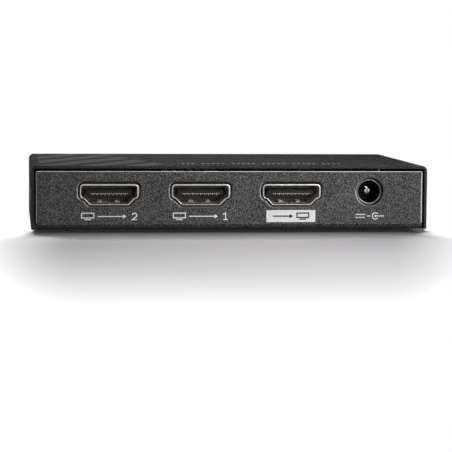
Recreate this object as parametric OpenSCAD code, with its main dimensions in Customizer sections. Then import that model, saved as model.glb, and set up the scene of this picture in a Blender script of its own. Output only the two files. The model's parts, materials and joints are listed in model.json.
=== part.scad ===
// Video splitter: one input and two outputs in a low folded sheet steel case.
// Millimetres, +Z up, port panel towards -Y, origin under the middle of the case
// on the surface that the feet stand on.

/* [Case] */
// Width of the cover over its side walls
case_w = 100; // [98:1:140]
// Depth of the cover from edge to edge
case_d = 60; // [58:1:90]
// Height from the underside of the tray to the top of the cover
case_h = 16; // [15.5:0.5:24]
// Thickness of the cover's sheet
cover_t = 0.8; // [0.6:0.05:1.2]
// Thickness of the tray's sheet
tray_t = 1.0; // [0.8:0.05:1.4]
// Inside radius of the cover's bends
cover_bend_r = 0.5; // [0.2:0.1:2]
// Inside radius of the tray's bends
tray_bend_r = 0.3; // [0.2:0.1:1]
// Open gap between the panels' ends and the cover's walls
panel_gap = 0.3; // [0.2:0.05:1]
// Open gap between the panels' upper edges and the cover
panel_top_gap = 0.6; // [0.2:0.05:1]
// How far the panels stand back from the cover's edges
panel_setback = 0.5; // [0.4:0.1:2]
// Radius of the panels' upper corners
panel_corner = 0.5; // [0.3:0.1:1.5]
// Width of the broken edge round each panel, its cut-outs and its jack hole
edge_break = 0.3; // [0.1:0.05:0.4]

/* [Side tabs and cover screws] */
// Gap between the side tabs and the cover
tab_gap = 0.1; // [0.05:0.05:0.3]
// Width of a side tab
tab_w = 10; // [8:0.5:14]
// Sheet left above the screw hole of a side tab
tab_margin = 3; // [2:0.1:4]
// Thread diameter of the cover screws
cover_screw_d = 2.5; // [2:0.1:3]
// Length of a cover screw from its flush head
cover_screw_len = 3; // [2.5:0.1:3.3]
// Depth of the cross recess in a cover screw
cover_screw_recess = 0.5; // [0.3:0.05:0.6]
// Distance of the cover screws from the middle of the side
cover_screw_y = 16; // [10:0.5:18]
// Height of the cover screws above the tray's underside
cover_screw_z = 8; // [6.5:0.1:9]

/* [Feet] */
// Diameter of a rubber foot
foot_d = 8; // [5:0.5:10]
// Height of a rubber foot
foot_h = 1.2; // [0.8:0.1:4]
// Distance of a foot's centre from the case's sides and ends
foot_inset = 12; // [11.5:0.5:15]

/* [Board and its fasteners] */
// Thickness of the circuit board
board_t = 1.6; // [1:0.1:2]
// Gap between the board and the panels
board_gap = 0.5; // [0.3:0.1:1]
// Gap between the board and the side tabs
board_side_gap = 1.6; // [1.5:0.1:2.5]
// Distance of the board screws from the board's edges
board_screw_inset = 3.5; // [3:0.1:3.6]
// Thread diameter of the board screws
board_screw_d = 2.5; // [2:0.1:3]
// Length of a board screw under its head
board_screw_len = 4; // [3:0.1:5]
// Diameter of a board screw's head
board_screw_head_d = 4.5; // [4:0.1:5]
// Height of a board screw's head
board_screw_head_h = 1.5; // [1:0.1:2]
// Radius of the rounded edge of a board screw's head
board_screw_head_r = 0.9; // [0.5:0.1:1.2]
// Depth of the cross recess in a board screw
board_screw_recess = 0.9; // [0.5:0.1:1.2]
// Clearance round a board screw in the board
board_hole_clear = 0.1; // [0.05:0.05:0.3]
// Radius of the board's corners
board_corner = 1; // [0.5:0.1:2]
// Free height of a standoff
standoff_h = 3.6; // [3:0.1:4.5]
// Width of a standoff across its flats
standoff_af = 5; // [4.5:0.1:6]
// Diameter of a standoff's clinched end
standoff_shank_d = 3.6; // [3.4:0.1:4.2]
// Clearance round a screw, shank or lamp in its hole
hole_clear = 0.05; // [0.03:0.01:0.15]

/* [Video sockets] */
// Distance from the case's left side to the first socket
socket_margin = 19.45; // [18:0.05:24]
// Width of a socket's mouth
mouth_w = 14; // [13:0.1:15]
// Height of a socket's mouth
mouth_h = 4.55; // [4.2:0.05:5.2]
// Height of the mouth's straight sides
mouth_side_h = 2.85; // [2.4:0.05:3]
// Width of the mouth's floor
mouth_floor_w = 9.5; // [9:0.1:10.2]
// Width of the shoulder below a straight side
shoulder_w = 0.9; // [0.6:0.05:1.1]
// Drop of that shoulder
shoulder_h = 0.25; // [0.15:0.05:0.4]
// Radius of the mouth's upper corners
mouth_top_r = 0.6; // [0.4:0.1:0.8]
// Radius of the mouth's corners above the shoulders
shoulder_r = 0.6; // [0.4:0.05:0.7]
// Radius of the mouth's other corners
mouth_low_r = 0.45; // [0.3:0.05:0.5]
// Thickness of the stamped shell
shell_t = 0.3; // [0.2:0.05:0.4]
// Length of the shell
shell_len = 11; // [10:0.1:13]
// How far the lip is turned outwards
lip_flare = 0.12; // [0.1:0.01:0.3]
// Thickness of the turned lip
lip_t = 0.35; // [0.2:0.05:0.4]
// How far the lip stands out of the port panel
lip_proud = 0.4; // [0.3:0.05:0.5]
// Gap between the lip and its cut-out in the panel
cutout_gap = 0.35; // [0.2:0.05:0.6]
// Width of the seam that closes the folded shell
seam_w = 0.08; // [0.05:0.01:0.15]
// Width of the seam's dovetails
dovetail_w = 0.6; // [0.4:0.1:0.8]
// Length of the seam's dovetails
dovetail_len = 1.8; // [1.2:0.1:2]
// Distance from the lip to a shell's front legs
front_leg_y = 3.6; // [3:0.1:5]
// Distance from a shell's rear end to its rear legs
rear_leg_inset = 1.6; // [1.2:0.1:2]
// Width of a shell leg
leg_w = 1.2; // [0.8:0.1:1.5]
// Length of the shell legs below the top of the board
leg_len = 2.4; // [1.8:0.1:2.8]
// Clearance round each leg in the board
leg_clear = 0.2; // [0.1:0.05:0.4]

/* [Spring fingers] */
// Distance of the upper fingers from the socket's middle
top_finger_x = 3.4; // [3:0.1:4]
// Width of an upper finger
top_finger_w = 1.5; // [1:0.1:2]
// Length of an upper finger's window
top_finger_len = 5; // [4:0.1:6]
// Distance of the lower fingers from the socket's middle
floor_finger_x = 2.2; // [2:0.1:2.6]
// Width of a lower finger
floor_finger_w = 1.1; // [0.8:0.1:1.2]
// Length of a lower finger's window
floor_finger_len = 4.4; // [4:0.1:5]
// Distance of the fingers' roots before the moulded back wall
finger_inset = 0.4; // [0.3:0.1:0.8]
// Gap between a finger's tip and the end of its window
finger_end_gap = 0.5; // [0.3:0.1:0.8]
// Length of a finger's turned-back tip
finger_tip = 0.9; // [0.6:0.1:1.2]
// How far the spring fingers reach into the mouth
finger_reach = 0.35; // [0.2:0.05:0.5]
// Width of the slots that free a spring finger
finger_slot = 0.25; // [0.15:0.05:0.4]

/* [Contact tongue] */
// Width of the tongue
tongue_w = 11.2; // [10.6:0.1:12]
// Thickness of the tongue
tongue_t = 1.2; // [1:0.05:1.4]
// Drop of the tongue below the top of the mouth
tongue_drop = 1.25; // [1:0.05:1.4]
// Depth of the tongue's tip behind the lip
tongue_recess = 1; // [0.6:0.1:2]
// Depth of the moulded back wall behind the lip
back_wall = 8.6; // [8.2:0.1:9.2]
// Clearance between the moulded body and the shell
body_clear = 0.05; // [0.02:0.01:0.1]
// Height of the contacts' tips above the tongue's underside
tip_rise = 0.3; // [0.1:0.05:0.5]
// Distance of a contact's blade behind the tongue's tip
contact_inset = 0.45; // [0.3:0.05:0.6]
// Gap between the moulded body and the contacts' tails
tail_gap = 0.15; // [0.1:0.05:0.4]
// Number of contacts in a socket
contacts = 19; // [9:2:19]
// Spacing of the contacts
contact_pitch = 0.5; // [0.48:0.01:0.55]
// Width of a contact on the tongue
contact_w = 0.34; // [0.25:0.01:0.4]
// Width of a contact's tip and tail
tail_w = 0.22; // [0.15:0.01:0.28]
// Thickness of a contact
contact_t = 0.15; // [0.1:0.01:0.2]
// Length of a contact's soldered foot
tail_len = 1.2; // [0.8:0.1:1.6]

/* [Power inlet] */
// Distance from the case's right side to the power inlet
jack_margin = 14.6; // [14.5:0.1:18]
// Distance from the last socket to the power inlet
jack_spacing = 20.05; // [17:0.05:22]
// Bore of the inlet, which takes a plug 5.5 mm thick
jack_bore_d = 5.7; // [5.6:0.05:6.3]
// Wall under and over the bore
jack_wall = 0.35; // [0.3:0.05:0.6]
// Wall of the round nose
nose_wall = 0.3; // [0.2:0.05:0.35]
// Length of the round nose
nose_len = 0.6; // [0.4:0.1:1]
// Gap between the nose and its hole in the panel
nose_gap = 0.3; // [0.2:0.05:0.5]
// Gap between the nose and the inside of the panel
jack_face_gap = 0.3; // [0.2:0.1:0.6]
// Width of the inlet's block
jack_w = 8.6; // [8.4:0.1:9]
// Length of the inlet's block
jack_len = 12.8; // [12.4:0.1:14]
// Thickness of the block's rear wall
jack_rear_wall = 1.6; // [1.2:0.1:2]
// Radius of the block's upper edges
jack_top_r = 1; // [0.5:0.1:1.5]
// Radius of the block's lower edges
jack_low_r = 0.3; // [0.2:0.1:0.5]
// Height of the block's side window
window_h = 2.6; // [2.4:0.1:3.4]
// Distance of the side window behind the nose
window_front = 2.6; // [2:0.1:3.2]
// Wall left behind the side window
window_rear = 0.4; // [0.3:0.1:1]
// Diameter of the centre pin
pin_d = 2; // [1.9:0.05:2.5]
// Depth of the pin's tip behind the nose
pin_recess = 3; // [2.4:0.1:3.4]
// Diameter of the pin's tip
pin_tip_d = 1.2; // [0.8:0.1:1.5]
// Length of the pin's tapered tip
pin_tip_len = 0.4; // [0.2:0.1:0.8]
// Diameter of the pin's riveted end
pin_rivet_d = 1.4; // [1.2:0.05:1.6]
// Length of the slot that splits the pin
pin_slot_len = 3; // [2:0.1:5]
// Width of the slot that splits the pin
pin_slot = 0.4; // [0.2:0.05:0.5]
// Thickness of the spring and terminal strips
strip_t = 0.25; // [0.2:0.05:0.3]
// Width of the sleeve spring and the switch strip
spring_w = 2.2; // [1.6:0.1:2.3]
// How far the sleeve spring reaches into the bore
spring_reach = 0.35; // [0.2:0.05:0.5]
// How far the leaf's end springs back out of the bore
leaf_return = 0.2; // [0.1:0.05:0.3]
// Length of the leaf's first bend
leaf_bend = 0.4; // [0.3:0.1:0.8]
// Length from the window's rear end to the leaf's second bend
leaf_root = 2; // [1.5:0.1:3]
// Length from the window's front end to the leaf's deepest point
leaf_apex = 2.6; // [2.2:0.1:3.4]
// Length from the window's front end to the leaf's end
leaf_end = 1; // [0.8:0.1:1.4]
// Distance of the switch strip behind the window's front end
switch_inset = 0.2; // [0.1:0.05:0.3]
// Width of a leg of the inlet's strips
jack_leg_w = 1.2; // [0.8:0.1:1.6]
// Width of the centre pin's leg
pin_leg_w = 2.4; // [1.6:0.1:3]

/* [Parts on the board] */
// Side of the splitter chip's body
chip_w = 10; // [9:0.5:11]
// Thickness of the splitter chip's body
chip_t = 1.4; // [1:0.1:1.6]
// Leads on each side of the splitter chip
chip_leads = 16; // [8:1:16]
// Spacing of the splitter chip's leads
chip_pitch = 0.5; // [0.45:0.01:0.5]
// Thickness of the thermal pad
pad_t = 0.5; // [0.3:0.1:1]
// Side of the heat sink
sink_w = 14; // [12:0.5:15]
// Height of the heat sink
sink_h = 5; // [3:0.1:5.4]
// Number of fins
sink_fins = 7; // [4:1:9]
// Diameter of an electrolytic capacitor
can_d = 6.3; // [5:0.1:6.3]
// Height of an electrolytic capacitor
can_h = 5.4; // [4:0.1:6.5]
// Spacing of the electrolytic capacitors
can_pitch = 10; // [8:0.5:12]
// Distance of the outer electrolytic capacitor from the board's right edge
can_inset = 10.5; // [9:0.5:12]
// Distance of the electrolytic capacitors behind the port panel
can_row = 36.5; // [34:0.5:40]
// Side of the inductor
coil_w = 7; // [5:0.5:8]
// Height of the inductor
coil_h = 3; // [2:0.1:4]
// Distance of the inductor from the board's right edge
coil_inset = 32; // [31:0.5:34]
// Distance of the inductor behind the port panel
coil_row = 33.5; // [30:0.5:36]
// Distance of the splitter chip behind the port panel
chip_row = 29.5; // [28:0.5:34]
// Distance of the memory chip from the board's left edge
memory_inset = 16.5; // [16:0.1:18]
// Distance of the memory chip behind the port panel
memory_row = 23.5; // [23:0.1:26]
// Distance of the crystal from the board's left edge
crystal_inset = 18.5; // [18:0.1:19]
// Distance of the crystal behind the port panel
crystal_row = 35.5; // [33:0.5:40]
// Distance of the outer regulator from the board's right edge
regulator_inset = 9.5; // [8:0.5:11]
// Spacing of the regulators
regulator_pitch = 11; // [9:0.5:12]
// Distance of the regulators behind the port panel
regulator_row = 25.5; // [24:0.5:27]
// Gap between the heat sink and the chip capacitors
capacitor_gap = 0.8; // [0.5:0.1:1]
// Spacing of the chip capacitors
capacitor_pitch = 2; // [1.5:0.1:3]

/* [Status lamps] */
// Number of lamps on the front
lamps = 4; // [2:1:4]
// Spacing of the lamps
lamp_pitch = 9; // [7:0.5:10]
// Diameter of a lamp's lens
lamp_d = 3; // [2.5:0.1:3.2]
// How far a lamp stands out of the front panel
lamp_proud = 0.35; // [0.2:0.05:0.4]
// Gap between a lamp's collar and the board
lamp_gap = 0.3; // [0.1:0.1:0.6]

/* [Hidden] */

$fn = 48;

// Overcut that lets a cutting shape pass through a face
over = 0.5;

// Radius below which a corner is left sharp
sharp_r = 0.05;

// Straight pieces in a rounded corner
corner_steps = 5;

// Colours
steel_grey = [0.2, 0.2, 0.21];
nickel = [0.75, 0.73, 0.7];
gold = [0.83, 0.66, 0.32];
moulded_black = [0.06, 0.06, 0.065];
solder_mask = [0.04, 0.05, 0.045];

// Heights in the frame
tray_z = foot_h;
floor_z = tray_z + tray_t;
board_z = floor_z + standoff_h;
top_z = board_z + board_t;
cover_z = tray_z + case_h;
panel_top = cover_z - cover_t - panel_top_gap;

// Faces of the two panels, as distances from the middle
panel_out = case_d / 2 - panel_setback;
panel_in = panel_out - tray_t;
panel_w = case_w - 2 * (cover_t + panel_gap);

// Outer faces of the side tabs, as distances from the middle
tab_out = case_w / 2 - cover_t - tab_gap;
tab_top = tray_z + cover_screw_z + tab_margin;

board_w = 2 * (tab_out - tray_t - board_side_gap);
board_d = 2 * (panel_in - board_gap);

// Places of the video sockets, from left to right
jack_x = case_w / 2 - jack_margin;
socket_first = socket_margin - case_w / 2;
socket_pitch = (jack_x - jack_spacing - socket_first) / 2;
socket_x = [for (i = [0:2]) socket_first + i * socket_pitch];
socket_y = -panel_out - lip_proud;
socket_z = top_z + shell_t + mouth_h / 2;
socket_floor = -mouth_h / 2 - shell_t;
cutout_grow = shell_t + lip_flare + cutout_gap;
leg_y = [front_leg_y, shell_len - rear_leg_inset];
leg_x = mouth_w / 2 + shell_t / 2;

// Spring fingers: distance from the middle, width and length
top_finger = [top_finger_x, top_finger_w, top_finger_len];
floor_finger = [floor_finger_x, floor_finger_w, floor_finger_len];
finger_root = back_wall - finger_inset;

tongue_top = mouth_h / 2 - tongue_drop;
tongue_floor = tongue_top - tongue_t;
tip_z = tongue_floor + tip_rise;
contact_start = tongue_recess + contact_inset;
tail_y = shell_len + tail_gap;

// Power inlet
jack_nose_d = jack_bore_d + 2 * nose_wall;
jack_axis = jack_bore_d / 2 + jack_wall;
jack_face = -panel_in + jack_face_gap;
jack_front = jack_face + nose_len;
jack_rear = jack_front + jack_len;
jack_floor = jack_rear - jack_rear_wall;
window_y = [jack_face + window_front, jack_floor - window_rear];
strip_x = -jack_w / 2 - strip_t / 2;
bore_x = -jack_bore_d / 2;

// Legs of the inlet's strips: place across, place along and section
pin_leg = [0, jack_rear + strip_t / 2, [pin_leg_w, strip_t]];
spring_leg = [strip_x, jack_floor + jack_leg_w / 2, [strip_t, jack_leg_w]];
switch_leg = [strip_x, window_y[0] + switch_inset + jack_leg_w / 2, [strip_t, jack_leg_w]];

// Parts on the board, as places from the middle of the case
chip_at = [socket_x[1], chip_row - panel_out];
memory_at = [memory_inset - board_w / 2, memory_row - panel_out];
crystal_at = [crystal_inset - board_w / 2, crystal_row - panel_out];
regulator_x = board_w / 2 - regulator_inset;
regulator_at = [for (k = [0:1]) [regulator_x - k * regulator_pitch, regulator_row - panel_out]];
can_x = board_w / 2 - can_inset;
can_at = [for (k = [0:1]) [can_x - k * can_pitch, can_row - panel_out]];
coil_at = [board_w / 2 - coil_inset, coil_row - panel_out];

// Sizes of the parts on the board
chip_lift = 0.1;
chip_corner = 0.4;
chip_lead_w = 0.22;
chip_lead_reach = 1;
pad_margin = 0.5;
sink_base_t = 1.5;
sink_fin_t = 0.8;
memory_size = [4.9, 3.9, 1.5];
memory_leads = 4;
memory_pitch = 1.27;
memory_lead_w = 0.4;
memory_lead_t = 0.2;
memory_lead_reach = 1.1;
crystal_size = [11, 4.6, 3.4];
crystal_rim_w = 0.4;
crystal_rim_t = 0.6;
regulator_size = [6.5, 3.5, 1.6];
regulator_legs = 3;
regulator_leg_pitch = 2.3;
regulator_leg_w = 0.7;
regulator_tab_w = 3;
regulator_lead_t = 0.25;
regulator_lead_reach = 1.75;
coil_corner = 1.2;
coil_groove_gap = 0.5;
coil_groove_w = 0.4;
coil_groove_depth = 0.3;
can_base_margin = 0.15;
can_base = can_d + 2 * can_base_margin;
can_base_t = 0.8;
can_base_cut = 1;
can_bead_z = 1.6;
can_bead = 0.3;
can_edge = 0.4;
capacitor_size = [1.6, 0.8, 0.8];
resistor_size = [0.5, 1, 0.35];
resistor_pitch = 1;
resistor_row = 7;
array_size = [2.5, 1, 0.5];
array_x = 2.2;
array_row = 3.2;

// Lamps
lamp_collar_w = 0.4;
lamp_collar_d = lamp_d + 2 * lamp_collar_w;
lamp_collar_t = 1;
lamp_len = 5.3;
lamp_axis = lamp_collar_d / 2 + lamp_gap;
lamp_front = panel_out + lamp_proud;
lamp_rear = lamp_front - lamp_len;
lamp_lead_w = 0.5;
lamp_lead_gap = 1.27;
lamp_lead_run = 1.4;

// Direction of a vector
function unit(v) = v / norm(v);

// The vector turned a quarter to its left
function left_of(v) = [-v.y, v.x];

// The vector turned by an angle
function turned(v, a) = [v.x * cos(a) - v.y * sin(a), v.x * sin(a) + v.y * cos(a)];

// A closed outline moved outwards by g; each corner is [x, y, radius], counter-clockwise
function grown(corners, g) =
    let (n = len(corners))
    [for (i = [0:n - 1])
        let (
            a = corners[(i + n - 1) % n],
            b = corners[i],
            c = corners[(i + 1) % n],
            u = unit([b.x - a.x, b.y - a.y]),
            v = unit([c.x - b.x, c.y - b.y]),
            out = -left_of(u) - left_of(v),
            k = g / (1 + u * v),
            r = b[2] + g * sign(cross(u, v))
        )
        [b.x + k * out.x, b.y + k * out.y, r > sharp_r ? r : 0]
    ];

// The arc that rounds corner b between its neighbours a and c
function corner_arc(a, b, c, steps) =
    let (
        p = [b.x, b.y],
        u = unit(p - [a.x, a.y]),
        v = unit([c.x, c.y] - p),
        side = sign(cross(u, v)),
        turn = acos(u * v),
        start = p - u * b[2] * tan(turn / 2),
        centre = start + side * b[2] * left_of(u)
    )
    b[2] == 0 ? [p] : [for (k = [0:steps]) centre + turned(start - centre, side * turn * k / steps)];

// A closed outline with every corner rounded by its own radius
function rounded(corners, steps = corner_steps) =
    let (n = len(corners))
    [for (i = [0:n - 1]) each corner_arc(corners[(i + n - 1) % n], corners[i], corners[(i + 1) % n], steps)];

// A rectangle about the origin with rounded corners
function round_rect(w, h, r) =
    rounded([[-w / 2, -h / 2, r], [w / 2, -h / 2, r], [w / 2, h / 2, r], [-w / 2, h / 2, r]]);

// A path moved to its left by d
function beside(path, d) =
    let (last = len(path) - 1)
    [for (i = [0:last])
        let (
            u = unit(path[max(i, 1)] - path[max(i, 1) - 1]),
            v = unit(path[min(i + 1, last)] - path[min(i + 1, last) - 1])
        )
        path[i] + d / (1 + u * v) * (left_of(u) + left_of(v))
    ];

// The outline of a bent strip whose middle follows a path
function strip(path, t) =
    let (right = beside(path, -t / 2))
    concat(beside(path, t / 2), [for (i = [len(right) - 1:-1:0]) right[i]]);

// Outline of a socket's mouth, moved outwards by g, about the middle of the mouth
function mouth(g) =
    let (
        w = mouth_w / 2,
        h = mouth_h / 2,
        side = h - mouth_side_h,
        f = mouth_floor_w / 2
    )
    rounded(grown([
        [-f, -h, mouth_low_r],
        [f, -h, mouth_low_r],
        [w - shoulder_w, side - shoulder_h, mouth_low_r],
        [w, side, shoulder_r],
        [w, h, mouth_top_r],
        [-w, h, mouth_top_r],
        [-w, side, shoulder_r],
        [-w + shoulder_w, side - shoulder_h, mouth_low_r]
    ], g));

// Solid that tapers from one outline of the mouth to another; each end is [growth, place along Y].
// The outline is symmetrical, so its ends are rows of flat pieces between level points.
module mouth_taper(front, rear) {
    outlines = [for (end = [front, rear]) [for (p = mouth(end[0])) [p.x, end[1], p.y]]];
    n = len(outlines[0]);
    right = [for (k = [0:n / 2 - 1]) corner_steps + 1 + k];
    left = [for (k = [0:n / 2 - 1]) (corner_steps - k + n) % n];
    polyhedron(
        concat(outlines[0], outlines[1]),
        concat(
            [for (k = [1:n / 2 - 1]) each [
                [left[k - 1], left[k], right[k]],
                [left[k - 1], right[k], right[k - 1]],
                [n + left[k - 1], n + right[k], n + left[k]],
                [n + left[k - 1], n + right[k - 1], n + right[k]]
            ]],
            [for (i = [0:n - 1]) let (j = (i + 1) % n) each [[i, j, n + j], [i, n + j, n + i]]]
        )
    );
}

// Extrude an outline in X and Z along Y
module along_y(from, length)
    translate([0, from + length, 0])
        rotate([90, 0, 0])
            linear_extrude(length)
                children();

// Extrude an outline in Y and Z along X, about the middle
module along_x(length)
    translate([-length / 2, 0, 0])
        rotate([90, 0, 90])
            linear_extrude(length)
                children();

// A cylinder that runs along Y
module rod_y(from, length, d1, d2)
    translate([0, from, 0])
        rotate([-90, 0, 0])
            cylinder(h = length, d1 = d1, d2 = d2);

// An upright block that stands on a place
module block(size)
    translate([-size.x / 2, -size.y / 2, 0])
        cube(size);

// Open trough outline with its two lower corners rounded
module trough(w, h, r) {
    translate([-w / 2, r])
        square([w, h - r]);
    translate([r - w / 2, 0])
        square([w - 2 * r, h]);
    for (side = [-1, 1])
        translate([side * (w / 2 - r), r])
            circle(r);
}

// Folded sheet outline: a floor with two upright walls
module channel(w, h, t, r)
    difference() {
        trough(w, h, r + t);
        translate([0, t])
            trough(w - 2 * t, h, r);
    }

module at_cover_screws()
    for (side = [0, 180], y = [-cover_screw_y, cover_screw_y])
        rotate([0, 0, side])
            translate([case_w / 2, y, tray_z + cover_screw_z])
                rotate([0, -90, 0])
                    children();

module at_board_screws()
    for (sx = [-1, 1], sy = [-1, 1])
        translate([sx * (board_w / 2 - board_screw_inset), sy * (board_d / 2 - board_screw_inset), 0])
            children();

module at_socket(i)
    translate([socket_x[i], socket_y, socket_z])
        children();

module at_jack()
    translate([jack_x, 0, top_z + jack_axis])
        children();

module at_lamps()
    for (i = [0:lamps - 1])
        translate([(i - (lamps - 1) / 2) * lamp_pitch, 0, top_z + lamp_axis])
            children();

// Cross recess of a screw head, sunk from the face at the origin
module cross_recess(w, depth)
    for (a = [0, 90])
        rotate([0, 0, a])
            translate([-w / 2, -w / 10, -over])
                cube([w, w / 5, depth + over]);

// Countersunk screw whose flush face lies at the origin, pointing up
module countersunk(clear) {
    shank = cover_screw_d + 2 * clear;
    union() {
        translate([0, 0, -clear])
            cylinder(h = cover_t + clear, d1 = shank + 2 * (cover_t + clear), d2 = shank);
        cylinder(h = cover_screw_len, d = shank);
    }
}

module top_cover()
    color(steel_grey)
        difference() {
            translate([0, 0, cover_z])
                along_y(-case_d / 2, case_d)
                    mirror([0, 1])
                        channel(case_w, case_h, cover_t, cover_bend_r);
            at_cover_screws()
                countersunk(hole_clear);
        }

// Tab folded up from one edge of the tray, on the +X side
module side_tab()
    translate([0, -tab_w / 2, tray_z])
        along_y(0, tab_w)
            intersection() {
                channel(2 * tab_out, tab_top - tray_z, tray_t, tray_bend_r);
                translate([panel_w / 4, 0])
                    square([tab_out, tab_top]);
            }

// Bar that breaks an edge at the origin along X
module edge_bar(length)
    rotate([45, 0, 0])
        cube([length, edge_break * sqrt(2), edge_break * sqrt(2)], center = true);

// Broken edges round the outside of one panel, on the -Y side
module panel_edges()
    translate([0, -panel_out, 0]) {
        translate([0, 0, panel_top])
            edge_bar(panel_w + 2 * over);
        for (side = [-1, 1])
            translate([side * panel_w / 2, 0, tray_z + case_h / 2])
                rotate([0, 90, 0])
                    edge_bar(case_h);
    }

module base_tray()
    color(steel_grey)
        difference() {
            union() {
                intersection() {
                    translate([0, 0, tray_z])
                        along_x(panel_w + 2 * over)
                            channel(2 * panel_out, panel_top - tray_z + over, tray_t, tray_bend_r);
                    along_y(-panel_out - over, 2 * (panel_out + over))
                        translate([0, panel_top])
                            mirror([0, 1])
                                trough(panel_w, panel_top, panel_corner);
                }
                for (side = [0, 180], y = [-cover_screw_y, cover_screw_y])
                    rotate([0, 0, side])
                        translate([0, y, 0])
                            side_tab();
            }
            for (side = [0, 180])
                rotate([0, 0, side])
                    panel_edges();
            for (i = [0:2])
                at_socket(i) {
                    past = edge_break / 4;
                    along_y(-over, tray_t + lip_proud + 2 * over)
                        polygon(mouth(cutout_grow));
                    mouth_taper(
                        [cutout_grow + edge_break + past, lip_proud - past],
                        [cutout_grow - past, lip_proud + edge_break + past]
                    );
                }
            at_jack() {
                hole = jack_nose_d + 2 * nose_gap;
                rod_y(-panel_out - over, tray_t + 2 * over, hole, hole);
                rod_y(-panel_out, edge_break, hole + 2 * edge_break, hole);
            }
            at_lamps()
                rod_y(panel_in - over, tray_t + 2 * over, lamp_d + 2 * hole_clear, lamp_d + 2 * hole_clear);
            at_board_screws()
                translate([0, 0, tray_z - over])
                    cylinder(h = tray_t + 2 * over, d = standoff_shank_d + 2 * hole_clear);
            at_cover_screws()
                cylinder(h = cover_screw_len + over, d = cover_screw_d + 2 * hole_clear);
        }

module cover_screws()
    color(nickel)
        at_cover_screws()
            difference() {
                countersunk(0);
                cross_recess(cover_screw_d, cover_screw_recess);
            }

module rubber_feet()
    color(moulded_black)
        for (sx = [-1, 1], sy = [-1, 1])
            translate([sx * (case_w / 2 - foot_inset), sy * (case_d / 2 - foot_inset), 0])
                rotate_extrude()
                    polygon([
                        [0, 0],
                        [foot_d / 2 - foot_h / 3, 0],
                        [foot_d / 2, foot_h / 3],
                        [foot_d / 2, foot_h],
                        [0, foot_h]
                    ]);

module standoffs()
    color(nickel)
        at_board_screws()
            translate([0, 0, tray_z])
                difference() {
                    union() {
                        cylinder(h = tray_t + over, d = standoff_shank_d);
                        translate([0, 0, tray_t])
                            cylinder(h = standoff_h, d = standoff_af / cos(30), $fn = 6);
                    }
                    translate([0, 0, -over])
                        cylinder(h = tray_t + standoff_h + 2 * over, d = board_screw_d + 2 * hole_clear);
                }

module board_screws()
    color(nickel)
        at_board_screws()
            translate([0, 0, top_z])
                difference() {
                    union() {
                        translate([0, 0, -board_screw_len])
                            cylinder(h = board_screw_len + over, d = board_screw_d);
                        rotate_extrude()
                            polygon(rounded([
                                [0, 0, 0], [board_screw_head_d / 2, 0, 0],
                                [board_screw_head_d / 2, board_screw_head_h, board_screw_head_r],
                                [0, board_screw_head_h, 0]
                            ]));
                    }
                    translate([0, 0, board_screw_head_h])
                        mirror([0, 0, 1])
                            cross_recess(board_screw_d, board_screw_recess);
                }

// Slot in the board for a flat leg at the origin
module leg_slot(size)
    translate([-size.x / 2 - leg_clear, -size.y / 2 - leg_clear, board_z - over])
        cube([size.x + 2 * leg_clear, size.y + 2 * leg_clear, board_t + 2 * over]);

module circuit_board()
    color(solder_mask)
        difference() {
            translate([0, 0, board_z])
                linear_extrude(board_t)
                    polygon(round_rect(board_w, board_d, board_corner));
            at_board_screws()
                translate([0, 0, board_z - over])
                    cylinder(h = board_t + 2 * over, d = board_screw_d + 2 * board_hole_clear);
            for (x = socket_x, side = [-1, 1], y = leg_y)
                translate([x + side * leg_x, socket_y + y, 0])
                    leg_slot([shell_t, leg_w]);
            for (p = [pin_leg, spring_leg, switch_leg])
                translate([jack_x + p.x, p.y, 0])
                    leg_slot(p[2]);
            at_lamps()
                for (side = [-1, 1])
                    translate([side * lamp_lead_gap, lamp_rear - lamp_lead_run, -lamp_axis - board_t - over])
                        cylinder(h = board_t + 2 * over, d = lamp_lead_w * sqrt(2) + 2 * leg_clear);
        }

// Window in the upper or lower wall of a shell that frees a spring finger
module finger_window(finger, z)
    for (side = [-1, 1])
        translate([side * finger[0] - finger[1] / 2 - finger_slot, finger_root - finger[2], z - over])
            cube([finger[1] + 2 * finger_slot, finger[2], shell_t + 2 * over]);

// Spring finger, rooted at its inner end and bent into the mouth; turn is 1 at the top, -1 at the floor
module spring_finger(finger, turn) {
    wall = turn * (mouth_h + shell_t) / 2;
    tip = finger_root - finger[2] + finger_end_gap;
    path = [
        [finger_root + shell_t, wall],
        [finger_root, wall],
        [tip + finger_tip, wall - turn * (finger_reach + shell_t)],
        [tip, wall - turn * finger_reach]
    ];
    for (side = [-1, 1])
        translate([side * finger[0], 0, 0])
            along_x(finger[1])
                polygon(strip(path, shell_t));
}

// Seam in the floor of a shell, locked by two dovetails
module floor_seam() {
    flare = dovetail_len / 8;
    step = shell_len / 4;
    translate([0, 0, socket_floor - over])
        linear_extrude(shell_t + 2 * over)
            polygon(strip([
                [0, -over],
                [0, step],
                [dovetail_w, step - flare],
                [dovetail_w, step + dovetail_len + flare],
                [0, step + dovetail_len],
                [0, 2 * step + dovetail_len],
                [-dovetail_w, 2 * step + dovetail_len - flare],
                [-dovetail_w, 2 * step + 2 * dovetail_len + flare],
                [0, 2 * step + 2 * dovetail_len],
                [0, shell_len + over]
            ], seam_w));
}

module socket_shell()
    color(nickel)
        union() {
            difference() {
                union() {
                    along_y(0, shell_len)
                        polygon(mouth(shell_t));
                    along_y(0, lip_t)
                        polygon(mouth(shell_t + lip_flare));
                    for (side = [-1, 1], y = leg_y)
                        translate([side * leg_x - shell_t / 2, y - leg_w / 2, socket_floor - leg_len])
                            cube([shell_t, leg_w, leg_len - socket_floor]);
                }
                along_y(-over, shell_len + 2 * over)
                    polygon(mouth(0));
                finger_window(top_finger, mouth_h / 2);
                finger_window(floor_finger, socket_floor);
                floor_seam();
            }
            spring_finger(top_finger, 1);
            spring_finger(floor_finger, -1);
        }

// Across position of contact k
function contact_x(k) = (k - (contacts - 1) / 2) * contact_pitch;

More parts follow.
